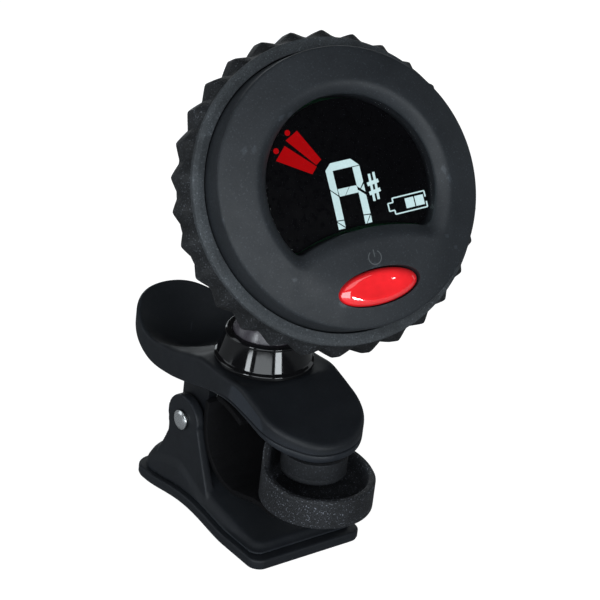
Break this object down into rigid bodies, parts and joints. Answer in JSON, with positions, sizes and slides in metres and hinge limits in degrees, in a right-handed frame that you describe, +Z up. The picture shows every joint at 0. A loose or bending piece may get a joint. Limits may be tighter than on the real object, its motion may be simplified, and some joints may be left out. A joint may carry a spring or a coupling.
{
  "type": "clip-on instrument tuner",
  "caption": "Clip-on tuner: round display head with a scalloped grip on a ball-jointed stem, carried by a sprung two-lever clip with rubber jaw pads",
  "frame": {"origin": "under the middle of the bounding box, on the surface the clip stands on", "axes": "+Z up, the display and the jaws face -Y, +X to the right across the clip along the pivot pin"},
  "size_m": [0.0472, 0.0616, 0.0845],
  "materials": {
    "soft_touch": "soft-touch rubberised finish, fine satin grain, rubbed slightly shiny on the edges",
    "moulded_black": "moulded nylon, fine spark texture",
    "gloss_black": "polished black acetal",
    "rubber": "matt moulded rubber, slightly speckled",
    "steel": "bright plated steel",
    "ball_grey": "grey-violet acetal, satin",
    "clear": "smoked clear acrylic, polished",
    "display": "dark display glass with white and red figures",
    "milky": "milky white light guide",
    "board": "green solder mask over glass fibre",
    "red": "glossy red, faintly translucent",
    "brass": "plain brass disc with a ceramic face"
  },
  "bodies": {
    "lower_lever": {"lower_lever_sole": "soft_touch", "lower_lever_body": "soft_touch", "pivot_pin": "steel", "torsion_spring": "steel", "jaw_liner_lower": "rubber", "lower_jaw_cup": "rubber"},
    "upper_lever": {"upper_lever_shell": "soft_touch", "upper_lever_frame": "moulded_black", "jaw_liner_upper": "rubber", "upper_jaw_pad": "rubber", "socket_collar": "gloss_black"},
    "seat": {"ball_seat": "moulded_black"},
    "ball": {"ball_stud": "ball_grey"},
    "head": {"front_bezel": "soft_touch", "scalloped_rim": "rubber", "rear_housing": "soft_touch", "display_window": "clear", "lcd_panel": "display", "backlight_diffuser": "milky", "circuit_board": "board", "tact_switch": "steel", "coin_cell": "steel", "battery_tray": "moulded_black", "contact_negative": "steel", "contact_positive": "steel", "piezo_disc": "brass", "stem_arm": "moulded_black", "housing_screw_1": "steel", "housing_screw_2": "steel", "housing_screw_3": "steel", "housing_screw_4": "steel"},
    "button": {"power_button": "red"},
    "door": {"battery_door": "soft_touch"}
  },
  "joints": [
    {"name": "jaw_hinge", "type": "hinge", "parent": "lower_lever", "child": "upper_lever", "pos_m": [0.00392, 0.00976, 0.0146], "axis": [-1, 0, 0], "range_deg": [0, 28], "stiffness_Nm_per_rad": 0.25, "springref_deg": -34.38},
    {"name": "head_yaw", "type": "hinge", "parent": "upper_lever", "child": "seat", "pos_m": [0.00392, 0.00216, 0.0312], "axis": [0, 0, 1], "continuous": true},
    {"name": "head_tilt", "type": "hinge", "parent": "seat", "child": "ball", "pos_m": [0.00392, 0.00216, 0.0312], "axis": [-0.9778, 0.2096, 0], "range_deg": [-8, 70]},
    {"name": "head_spin", "type": "hinge", "parent": "ball", "child": "head", "pos_m": [0.00392, 0.00216, 0.0312], "axis": [-0.0968, -0.6117, 0.7851], "continuous": true},
    {"name": "button_press", "type": "slide", "parent": "head", "child": "button", "axis": [0.1783, 0.8319, -0.5255], "range_m": [0, 0.0006], "stiffness_N_per_m": 200, "springref_m": -0.0012},
    {"name": "battery_door_slide", "type": "slide", "parent": "head", "child": "door", "axis": [-0.0133, 0.536, 0.8441], "range_m": [0, 0.009]}
  ]
}
